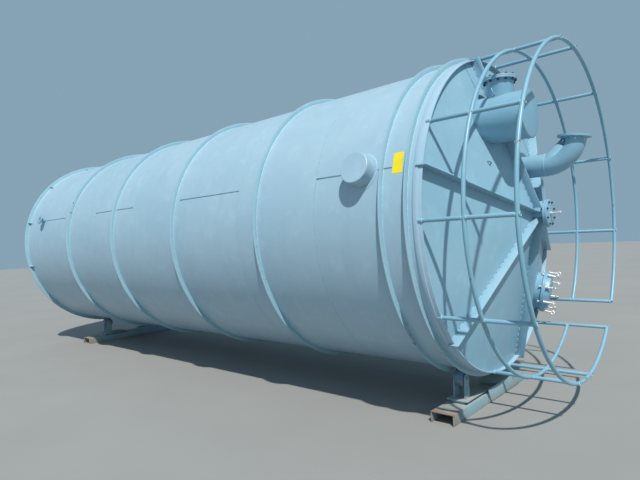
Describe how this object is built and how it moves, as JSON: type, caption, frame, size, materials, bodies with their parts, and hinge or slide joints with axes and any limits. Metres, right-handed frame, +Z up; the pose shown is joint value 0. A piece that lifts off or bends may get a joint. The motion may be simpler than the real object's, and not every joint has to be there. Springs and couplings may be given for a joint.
{
  "type": "bulk storage silo",
  "caption": "Cylindrical steel storage silo lying on roller stands, with stiffening rings, ribbed conical roof, guard rail, nozzles, manhole, fill pipe and skirt.",
  "frame": {"origin": "on the floor under the middle of the whole object's box", "axes": "+X along the silo's axis towards its roof end, +Y towards its far side, +Z up"},
  "size_m": [8.9938, 3.1618, 3.4],
  "materials": {
    "blue_paint": "sky-blue gloss paint",
    "rail_paint": "sky-blue gloss paint, darker",
    "roller_paint": "sky-blue paint, rubbed on the tread",
    "dusty_paint": "sky-blue paint under dust and rust",
    "yellow_plate": "yellow, plain"
  },
  "bodies": {
    "silo": {"base_bracket_far": "blue_paint", "base_bracket_near": "blue_paint", "base_ring": "blue_paint", "base_stand_beam": "dusty_paint", "branch_cover": "blue_paint", "centre_nozzle": "blue_paint", "centre_nozzle_cover": "blue_paint", "discharge_cone": "blue_paint", "drum_branch": "blue_paint", "fill_bend": "blue_paint", "fill_flange": "blue_paint", "fill_pipe": "blue_paint", "guard_rail": "rail_paint", "label_plate": "yellow_plate", "manhole_cover": "blue_paint", "manhole_neck": "blue_paint", "nozzle_pad": "blue_paint", "outlet_flange": "blue_paint", "rim_ring": "blue_paint", "roof_bracket_far": "blue_paint", "roof_bracket_near": "blue_paint", "roof_cone": "blue_paint", "roof_rib_1": "blue_paint", "roof_rib_2": "blue_paint", "roof_rib_3": "blue_paint", "roof_rib_4": "blue_paint", "roof_rib_5": "blue_paint", "roof_rib_6": "blue_paint", "roof_stand_beam": "dusty_paint", "shell_course_1": "blue_paint", "shell_course_2": "blue_paint", "shell_course_3": "blue_paint", "shell_nozzle": "blue_paint", "skirt": "blue_paint", "skirt_nozzle": "blue_paint", "stiffening_ring_1": "blue_paint", "stiffening_ring_2": "blue_paint", "stiffening_ring_3": "blue_paint", "stiffening_ring_4": "blue_paint", "stiffening_ring_5": "blue_paint", "stiffening_ring_6": "blue_paint", "vent_drum": "blue_paint"},
    "roof_roller_near": {"roof_roller_near": "roller_paint"},
    "roof_roller_far": {"roof_roller_far": "roller_paint"},
    "base_roller_near": {"base_roller_near": "roller_paint"},
    "base_roller_far": {"base_roller_far": "roller_paint"}
  },
  "joints": [
    {"name": "roof_roller_near_turn", "type": "hinge", "parent": "silo", "child": "roof_roller_near", "pos_m": [3.39912, -0.44337, 0.32616], "axis": [1, 0, 0], "continuous": true},
    {"name": "roof_roller_far_turn", "type": "hinge", "parent": "silo", "child": "roof_roller_far", "pos_m": [3.39912, 0.46497, 0.32616], "axis": [1, 0, 0], "continuous": true},
    {"name": "base_roller_near_turn", "type": "hinge", "parent": "silo", "child": "base_roller_near", "pos_m": [-3.72088, -0.44337, 0.32616], "axis": [1, 0, 0], "continuous": true},
    {"name": "base_roller_far_turn", "type": "hinge", "parent": "silo", "child": "base_roller_far", "pos_m": [-3.72088, 0.46497, 0.32616], "axis": [1, 0, 0], "continuous": true}
  ]
}
